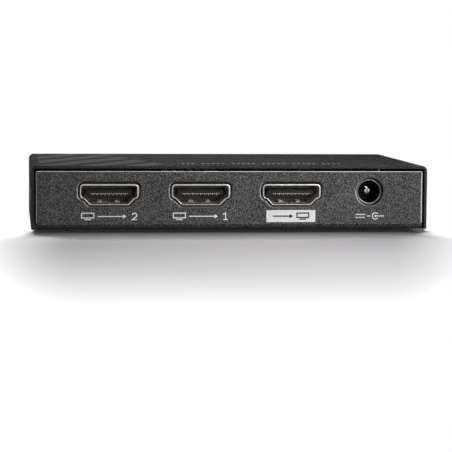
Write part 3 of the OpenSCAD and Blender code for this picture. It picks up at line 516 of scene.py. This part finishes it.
def soften(name, width, segments=3, angle=35.0):
    """Breaks the sharp edges of a node, as stamping and paint do."""
    node = nodes[name]
    weld = node.modifiers.new("weld", "WELD")
    weld.merge_threshold = 1e-6
    flat = node.modifiers.new("flat", "DECIMATE")
    flat.decimate_type = "DISSOLVE"
    flat.angle_limit = math.radians(0.5)
    bevel = node.modifiers.new("edges", "BEVEL")
    bevel.width = width * MM
    bevel.segments = segments
    bevel.limit_method = "ANGLE"
    bevel.angle_limit = math.radians(angle)
    bevel.use_clamp_overlap = False
    normals = node.modifiers.new("normals", "WEIGHTED_NORMAL")
    normals.weight = 80


soften("top_cover", 0.22)
soften("jack_pin", 0.08)


# Turned lips of the video sockets and rounded nose of the power inlet

def directions(corners, i):
    """Directions of the two sides that meet in a corner, and the side that they turn to."""
    x, z = corners[i][:2]
    before, after = corners[i - 1], corners[(i + 1) % len(corners)]
    u = Vector((x - before[0], z - before[1])).normalized()
    v = Vector((after[0] - x, after[1] - z)).normalized()
    return u, v, 1 if u.x * v.y - u.y * v.x > 0 else -1


def grown(corners, by):
    """A closed outline of (x, z, radius) corners, counter-clockwise, moved outwards."""
    moved = []
    for i, (x, z, radius) in enumerate(corners):
        u, v, bend = directions(corners, i)
        out = Vector((u.y + v.y, -u.x - v.x)) * by / (1 + u.dot(v))
        moved.append((x + out.x, z + out.y, max(0.02, radius + by * bend)))
    return moved


def rounded(corners, steps=8):
    """Points along an outline with its corners rounded."""
    points = []
    for i, (x, z, radius) in enumerate(corners):
        u, v, bend = directions(corners, i)
        turn = math.acos(max(-1, min(1, u.dot(v))))
        start = Vector((x, z)) - u * radius * math.tan(turn / 2)
        centre = start + Vector((-u.y, u.x)) * radius * bend
        arm = start - centre
        for k in range(steps + 1):
            a = bend * turn * k / steps
            points.append((
                centre.x + arm.x * math.cos(a) - arm.y * math.sin(a),
                centre.y + arm.x * math.sin(a) + arm.y * math.cos(a),
            ))
    return points


def mouth(by):
    """Outline of a video socket's mouth, moved outwards."""
    half, high = MOUTH_HALF_WIDTH, MOUTH_HALF_HEIGHT
    floor_half, side_end = 4.75, -0.575
    shoulder, shoulder_end = half - 0.9, side_end - 0.25
    tight, wide = 0.45, 0.6
    corners = [
        (-floor_half, -high, tight), (floor_half, -high, tight),
        (shoulder, shoulder_end, tight), (half, side_end, wide),
        (half, high, wide), (-half, high, wide),
        (-half, side_end, wide), (-shoulder, shoulder_end, tight),
    ]
    return rounded(grown(corners, by))


# Growth of each side of a lip over its width, and its shift at the inside, across or up
LIP_SIDES = {
    "top": (0.17, -0.14), "bottom": (0.07, -0.10), "right": (0.10, -0.10), "left": (0.04, 0.0),
}


def lip(by):
    """Outline of a socket's lip, wider at its top and its right."""
    share = (by - LIP_INNER) / (LIP_OUTER - LIP_INNER)
    move = {side: growth * share + shift for side, (growth, shift) in LIP_SIDES.items()}
    return [
        (x + move["right" if x > 0 else "left"], z + move["top" if z > 0 else "bottom"])
        for x, z in mouth(by)
    ]


def bore(by, steps=64):
    """Outline of the power inlet's bore, moved outwards."""
    radius = JACK_BORE + by
    angles = [2 * math.pi * k / steps for k in range(steps)]
    return [(radius * math.cos(a), radius * math.sin(a)) for a in angles]


def round_section(inner, outer, front, back, radius, steps=4):
    """Rounded rectangle section of a ring, as (outward step, depth) pairs."""
    pairs = []
    for by, depth, start in (
        (outer - radius, front + radius, 270), (outer - radius, back - radius, 0),
        (inner + radius, back - radius, 90), (inner + radius, front + radius, 180),
    ):
        for k in range(steps + 1):
            a = math.radians(start + 90 * k / steps)
            pairs.append((by + radius * math.cos(a), depth + radius * math.sin(a)))
    return pairs


def add_piece(name, work, look, smooth=False):
    """Turns a work mesh into a named piece that rides with the case."""
    bmesh.ops.recalc_face_normals(work, faces=work.faces[:])
    mesh = bpy.data.meshes.new(name)
    work.to_mesh(mesh)
    work.free()
    if smooth:
        mesh.shade_smooth()
    mesh.materials.append(looks[look])
    piece = bpy.data.objects.new(name, mesh)
    scene.collection.objects.link(piece)
    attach(piece, "root")


def ring(name, outline, centre, section, look):
    """A closed ring round a mouth; its section lists (outward step, depth) pairs."""
    work = bmesh.new()
    loops = []
    for by, depth in section:
        loops.append([
            work.verts.new(((centre[0] + x) * MM, (centre[1] + depth) * MM, (centre[2] + z) * MM))
            for x, z in outline(by)
        ])
    for k, loop in enumerate(loops):
        after = loops[(k + 1) % len(loops)]
        for i in range(len(loop)):
            j = (i + 1) % len(loop)
            work.faces.new((loop[i], loop[j], after[j], after[i]))
    add_piece(name, work, look, smooth=True)


def crowns(name, centres, half_sizes, look):
    """Bowed tops of spring fingers or the bead of a seam, as flattened domes."""
    work = bmesh.new()
    for centre in centres:
        made = bmesh.ops.create_uvsphere(work, u_segments=20, v_segments=12, radius=1.0)
        bmesh.ops.scale(work, vec=[h * MM for h in half_sizes], verts=made["verts"])
        bmesh.ops.translate(work, vec=[c * MM for c in centre], verts=made["verts"])
    add_piece(name, work, look, smooth=True)


FINGER_X, FINGER_DEPTH, FINGER_Z = 2.2, 5.0, MOUTH_FLOOR_Z + 0.16
SEAM_X, SEAM_DEPTH, SEAM_Z = 0.1, 3.6, MOUTH_FLOOR_Z + 0.04
FINGER_HALF_SIZES, SEAM_HALF_SIZES = (0.52, 0.7, 0.36), (0.16, 2.2, 0.26)

lip_section = round_section(LIP_INNER, LIP_OUTER, front=-0.03, back=0.30, radius=0.10)
for socket, x in SOCKET_X.items():
    ring(
        f"{socket}_lip", lip, (x, SOCKET_Y, SOCKET_Z), lip_section,
        "nickel_plate",
    )
    crowns(
        f"{socket}_finger_crowns",
        [(x + side * FINGER_X, SOCKET_Y + FINGER_DEPTH, FINGER_Z) for side in (-1, 1)],
        FINGER_HALF_SIZES, "pin_nickel",
    )
    crowns(
        f"{socket}_seam_bead", [(x + SEAM_X, SOCKET_Y + SEAM_DEPTH, SEAM_Z)],
        SEAM_HALF_SIZES, "pin_nickel",
    )
ring(
    "jack_nose_ring", bore, (JACK_X, JACK_Y, JACK_Z),
    round_section(inner=-0.01, outer=0.31, front=-0.03, back=0.35, radius=0.13),
    "gloss_black",
)


# Printed marks on the port panel: plain symbols in place of the lettering

WHITE_LINE, BLACK_LINE = 0.25, 0.32
BASE, HIGH = 3.58, 5.44
MID = (BASE + HIGH) / 2
INK, TOP_INK = 0.02, 0.015


def stroke(points, width):
    """Outline of a line of even width through points."""
    left, right = [], []
    last = len(points) - 1
    for i, point in enumerate(points):
        here = Vector(point)
        before = (here - Vector(points[i - 1])).normalized() if i else None
        after = (Vector(points[i + 1]) - here).normalized() if i < last else None
        u, v = before or after, after or before
        out = Vector((-u.y - v.y, u.x + v.x)) / (1 + u.dot(v)) * width / 2
        left.append(here + out)
        right.append(here - out)
    return [tuple(p) for p in left + right[::-1]]


def arc(x, z, radius, start, end, steps=12):
    """Points along an arc between two angles in degrees."""
    angles = [math.radians(start + (end - start) * k / steps) for k in range(steps + 1)]
    return [(x + radius * math.cos(a), z + radius * math.sin(a)) for a in angles]


def mark(name, outlines, look, lift=0.0, thickness=INK):
    """Thin printed shapes on the panel's face; outlines are across and up."""
    work = bmesh.new()
    front = (PANEL_Y - lift - thickness) * MM
    for outline in outlines:
        face = work.faces.new([work.verts.new((x * MM, front, z * MM)) for x, z in outline])
        made = bmesh.ops.extrude_face_region(work, geom=[face])
        moved = [item for item in made["geom"] if isinstance(item, bmesh.types.BMVert)]
        bmesh.ops.translate(work, verts=moved, vec=(0, thickness * MM, 0))
    bmesh.ops.triangulate(work, faces=work.faces[:])
    add_piece(name, work, look)


def screen(x, line):
    """A screen on its foot, as two bent lines and a straight one."""
    width, foot = 3.3, 0.42
    half, mid = line / 2, x + width / 2
    low, high = BASE + foot + half, HIGH - half
    left, right = x + half, x + width - half
    return [
        stroke([(mid, low), (left, low), (left, high), (mid, high)], line),
        stroke([(mid, high), (right, high), (right, low), (mid, low)], line),
        stroke([(x + width * 0.25, BASE + half), (x + width * 0.75, BASE + half)], line),
    ]


def arrow(x, end, line):
    """A straight arrow that points to the right."""
    head_length, head_half = 0.9375, 0.54
    root = end - head_length
    return [
        stroke([(x, MID), (root, MID)], line),
        [(root, MID + head_half), (root, MID - head_half), (end, MID)],
    ]


def numeral_two(x, line):
    """A bow that runs down into a straight foot."""
    radius, half = 0.55, line / 2
    bow = arc(x + radius + half, HIGH - radius - half, radius, 170, -35)
    foot = [(x + half, BASE + half), (x + 2 * radius + line, BASE + half)]
    return [stroke(bow + foot, line)]


def numeral_one(x, line):
    """A stem with a flag, on a straight foot."""
    stem, half = x + 0.75, line / 2
    flag = (x + 0.1, HIGH - 0.5)
    foot_left, foot_right = x + 0.15, x + 1.35
    return [
        stroke([flag, (stem, HIGH - half), (stem, BASE + line)], line),
        stroke([(foot_left, BASE + half), (foot_right, BASE + half)], line),
    ]


def direct_current(x, line):
    """A full line over three short ones."""
    width, apart = 2.3, 0.38
    dash = width / 4
    rows = [stroke([(x, MID + apart), (x + width, MID + apart)], line)]
    for k in range(3):
        start = x + k * 1.5 * dash
        rows.append(stroke([(start, MID - apart), (start + dash, MID - apart)], line))
    return rows


def polarity(x, line):
    """A round plug with its centre on the plus side."""
    centre, end = x + 2.1, x + 4.3
    sleeve, pin = 0.8, 0.26
    return [
        stroke([(x, MID), (x + 0.8, MID)], line),
        stroke(arc(centre, MID, sleeve, 40, 320, 20), line),
        arc(centre, MID, pin, 0, 345, 23),
        stroke([(centre + pin + 0.01, MID), (end, MID)], line),
    ]


def output_legend(socket, numeral, numeral_at):
    """A screen, an arrow and the output's number, placed from the middle of its socket."""
    x = SOCKET_X[socket]
    screen_at, arrow_from, arrow_to = -7.05, -2.95, 4.35
    return (
        screen(x + screen_at, WHITE_LINE)
        + arrow(x + arrow_from, x + arrow_to, WHITE_LINE)
        + numeral(x + numeral_at, WHITE_LINE)
    )


PLATE_LEFT, PLATE_RIGHT, PLATE_LOW, PLATE_HIGH = 9.0, 21.45, 3.0, 6.04
plate = [
    (PLATE_LEFT, PLATE_LOW), (PLATE_RIGHT, PLATE_LOW),
    (PLATE_RIGHT, PLATE_HIGH), (PLATE_LEFT, PLATE_HIGH),
]
mark("legend_out_2", output_legend("out2", numeral_two, 5.6), "white_ink")
mark("legend_out_1", output_legend("out1", numeral_one, 5.5), "white_ink")
mark("legend_in_plate", [plate], "plate_ink")
mark(
    "legend_in",
    arrow(PLATE_LEFT + 1.6, PLATE_LEFT + 6.8, BLACK_LINE) + screen(PLATE_LEFT + 7.6, BLACK_LINE),
    "black_ink", lift=INK, thickness=TOP_INK,
)
mark(
    "legend_power",
    direct_current(JACK_X - 3.6, WHITE_LINE) + polarity(JACK_X - 0.65, 0.85 * WHITE_LINE),
    "white_ink",
)


# Pale floor that runs out to white, in metres

CASE_LEFT, CASE_RIGHT = -0.05, 0.05
CASE_FRONT, CASE_BACK = -0.03, 0.03
SIGHT_SHEAR, LEFT_EASE = 0.218, 0.8
POOL_SIDES, POOL_AHEAD = (0.041, 0.061), (-0.060, -0.166)
POOL_NEAR, POOL_START = (-0.032, -0.044), (-0.031, -0.041)
FLANK_START = (0.0500, 0.0490)
FLANK_LEFT, FLANK_RIGHT = (0.0085, 0.0006), (0.0078, 0.0006)
CORNER_LEFT, CORNER_RIGHT = 0.0012, 0.0035
# A little glowing white everywhere, as painted light that lifts the shadow under the case.
LEAST_WHITE = 0.019

# Spans along y over which the white beside and behind the case changes
FLANK_BEGINS, FLANK_MOVES = (-0.090, -0.050), (CASE_FRONT, -0.016)
LEFT_SHARPENS, RIGHT_SHARPENS = (-0.045, -0.020), (-0.035, -0.0205)
CORNER_BEGINS, CORNER_ENDS = (-0.046, -0.035), (-0.0315, -0.0235)
RIGHT_EASES, BEHIND = (-0.014, 0.004), (0.032, 0.070)

# Distances from the middle over which the floor is painted darker, as shade near the case
CONTACT, CONTACT_SHARE = (CASE_BACK, 0.036), 0.6
FURTHER, FURTHER_SHARE = (0.040, 0.0455), 0.85


def pool_of_shade(g, y, to_left, to_right):
    """White ahead of the case and to both sides of a soft pool of shade."""
    least_ahead = 0.14
    beside = g.range(g.larger(to_right, to_left), *POOL_SIDES)
    ahead = g.times(g.range(y, *POOL_AHEAD, least_ahead, 1.0), g.range(y, *POOL_NEAR))
    reach = g.plus(g.math("POWER", beside, 2.0), g.math("POWER", ahead, 2.0))
    return g.times(g.math("SQRT", reach, clamp=True), g.range(y, *POOL_START))


def flank(g, along, start, width, ease):
    """White from a line beside the case outwards, with a soft width."""
    past_start = g.plus(g.minus(along, start), ease)
    return g.over(past_start, g.plus(width, ease), clamp=True)


def whiteness(g, x, y):
    """Share of plain white: none in the shade round the case, all of it further out."""
    sheared = g.times(g.minus(y, CASE_FRONT), SIGHT_SHEAR)
    to_left, to_right = g.times(x, -1.0), g.minus(x, sheared)
    left_ease = g.larger(g.times(g.minus(y, CASE_BACK), LEFT_EASE), 0.0)
    right_ease = g.times(g.larger(sheared, 0.0), g.range(y, *RIGHT_EASES))
    start = g.range(y, *FLANK_MOVES, *FLANK_START)
    corner = g.times(g.range(y, *CORNER_BEGINS), g.range(y, *CORNER_ENDS, 1.0, 0.0))
    left = flank(
        g, to_left, g.minus(start, g.times(corner, CORNER_LEFT)),
        g.range(y, *LEFT_SHARPENS, *FLANK_LEFT), left_ease,
    )
    right = flank(
        g, to_right, g.minus(start, g.times(corner, CORNER_RIGHT)),
        g.range(y, *RIGHT_SHARPENS, *FLANK_RIGHT), right_ease,
    )
    beside = g.times(g.larger(left, right), g.range(y, *FLANK_BEGINS))
    pool = pool_of_shade(g, y, to_left, to_right)
    shade = g.times(g.inverse(g.larger(pool, beside)), g.inverse(g.range(y, *BEHIND)))
    return g.larger(g.inverse(shade), LEAST_WHITE)


def floor_tone_with_painted_shade(g, x, y):
    """Matt colour of the floor, with painted shade towards the right and a painted shadow close to
    the case.
    """
    pale, dark = (0.860, 0.824, 0.860), (0.560, 0.537, 0.560)
    away = g.size(y)
    # Painted shadow close to the case, and a little painted shade just beyond it.
    contact_shadow = g.range(away, *CONTACT, CONTACT_SHARE, 1.0)
    further_shade = g.range(away, *FURTHER, 1.0, FURTHER_SHARE)
    # Painted shade: the floor darkens from left to right.
    painted_shade_tone = g.mix(g.range(x, CASE_LEFT, CASE_RIGHT), pale, dark)
    return g.scaled(painted_shade_tone, g.times(contact_shadow, further_shade))


def floor_paint():
    """Matt floor that the camera, metal and glass see turn into white."""
    material = bpy.data.materials.new("floor")
    material.use_nodes = True
    g = Nodes(material.node_tree)
    g.tree.nodes.clear()
    x, y = g.parts(g.add("ShaderNodeTexCoord").outputs["Object"])[:2]
    matt = g.add("ShaderNodeBsdfDiffuse")
    g.link(floor_tone_with_painted_shade(g, x, y), matt.inputs["Color"])
    white = g.add("ShaderNodeEmission")
    white.inputs["Color"].default_value = (1, 1, 1, 1)
    blend = g.add("ShaderNodeMixShader")
    g.link(g.times(whiteness(g, x, y), g.seen()), blend.inputs["Fac"])
    g.link(matt.outputs["BSDF"], blend.inputs[1])
    g.link(white.outputs["Emission"], blend.inputs[2])
    g.link(blend.outputs["Shader"], g.add("ShaderNodeOutputMaterial").inputs["Surface"])
    return material


FLOOR_HALF = 6
floor_mesh = bpy.data.meshes.new("floor")
floor_corners = [(-1, -1), (1, -1), (1, 1), (-1, 1)]
floor_mesh.from_pydata(
    [(x * FLOOR_HALF, y * FLOOR_HALF, 0) for x, y in floor_corners], [], [(0, 1, 2, 3)]
)
floor_mesh.materials.append(floor_paint())
floor = bpy.data.objects.new("floor", floor_mesh)
scene.collection.objects.link(floor)


# Studio: a white surround that the camera, metal and glass see, and soft light

AMBIENT = 0.085


def surround():
    """White for the rays that show the background, and a low even light for the rest."""
    world = bpy.data.worlds.new("studio")
    world.use_nodes = True
    w = Nodes(world.node_tree)
    w.tree.nodes.clear()
    pick = w.add("ShaderNodeMixShader")
    w.link(w.seen(), pick.inputs["Fac"])
    for slot, strength in ((1, AMBIENT), (2, 1.0)):
        background = w.add("ShaderNodeBackground")
        background.inputs["Color"].default_value = (1, 1, 1, 1)
        background.inputs["Strength"].default_value = strength
        w.link(background.outputs["Background"], pick.inputs[slot])
    w.link(pick.outputs["Shader"], w.add("ShaderNodeOutputWorld").inputs["Surface"])
    return world


def softbox(name, place, aim, size, power, spread=180, mirrored=True):
    """A rectangular lamp that the camera does not see; a mirrored one shows in metal."""
    data = bpy.data.lights.new(name, "AREA")
    data.shape = "RECTANGLE"
    data.size, data.size_y = size
    data.energy = power
    data.spread = math.radians(spread)
    light = bpy.data.objects.new(name, data)
    scene.collection.objects.link(light)
    light.location = place
    light.rotation_euler = (Vector(aim) - Vector(place)).to_track_quat("-Z", "Y").to_euler()
    light.visible_camera = False
    light.visible_glossy = mirrored


scene.world = surround()
PANEL_MIDDLE = (0.0, -0.03, 0.01)
softbox(
    "front_right", place=(0.085, -0.148, 0.056), aim=(0.010, -0.03, 0.012),
    size=(0.10, 0.06), power=0.0355, spread=72,
)
softbox(
    "front", place=(0.10, -0.59, 0.06), aim=PANEL_MIDDLE,
    size=(0.12, 0.12), power=0.44, mirrored=False,
)
softbox(
    "top_back", place=(-0.13, 0.12, 0.17), aim=(-0.020, 0.0, 0.017),
    size=(0.10, 0.10), power=0.0165, spread=24,
)
softbox(
    "back", place=(-0.16, 0.44, 0.24), aim=(0.0, 0.03, 0.01),
    size=(0.30, 0.14), power=0.60,
)
softbox(
    "catch", place=(-0.12, -0.52, 0.16), aim=PANEL_MIDDLE,
    size=(0.05, 0.05), power=0.06,
)


# Camera fitted to the photograph, in metres, degrees and pixels

CAMERA_PLACE = (-0.054612, -0.501463, 0.043831)
CAMERA_YAW, CAMERA_PITCH, CAMERA_ROLL = 6.45299, 5.02825, 0.42788
FOCAL_LENGTH, PHOTO_WIDTH = 1896.26, 452


def camera_turn():
    """Rotation of the camera from its yaw, pitch and roll."""
    yaw, pitch, roll = (math.radians(a) for a in (CAMERA_YAW, CAMERA_PITCH, CAMERA_ROLL))
    level = math.cos(pitch)
    forward = Vector((math.sin(yaw) * level, math.cos(yaw) * level, -math.sin(pitch)))
    right = Vector((math.cos(yaw), -math.sin(yaw), 0))
    up = right.cross(forward)
    across = right * math.cos(roll) + up * math.sin(roll)
    upright = up * math.cos(roll) - right * math.sin(roll)
    return Matrix((across, upright, -forward)).transposed().to_4x4()


camera_data = bpy.data.cameras.new("camera")
camera_data.sensor_width = 36
camera_data.lens = camera_data.sensor_width * FOCAL_LENGTH / PHOTO_WIDTH
camera_data.clip_start = 0.01
camera = bpy.data.objects.new("camera", camera_data)
scene.collection.objects.link(camera)
camera.matrix_world = Matrix.Translation(CAMERA_PLACE) @ camera_turn()
scene.camera = camera
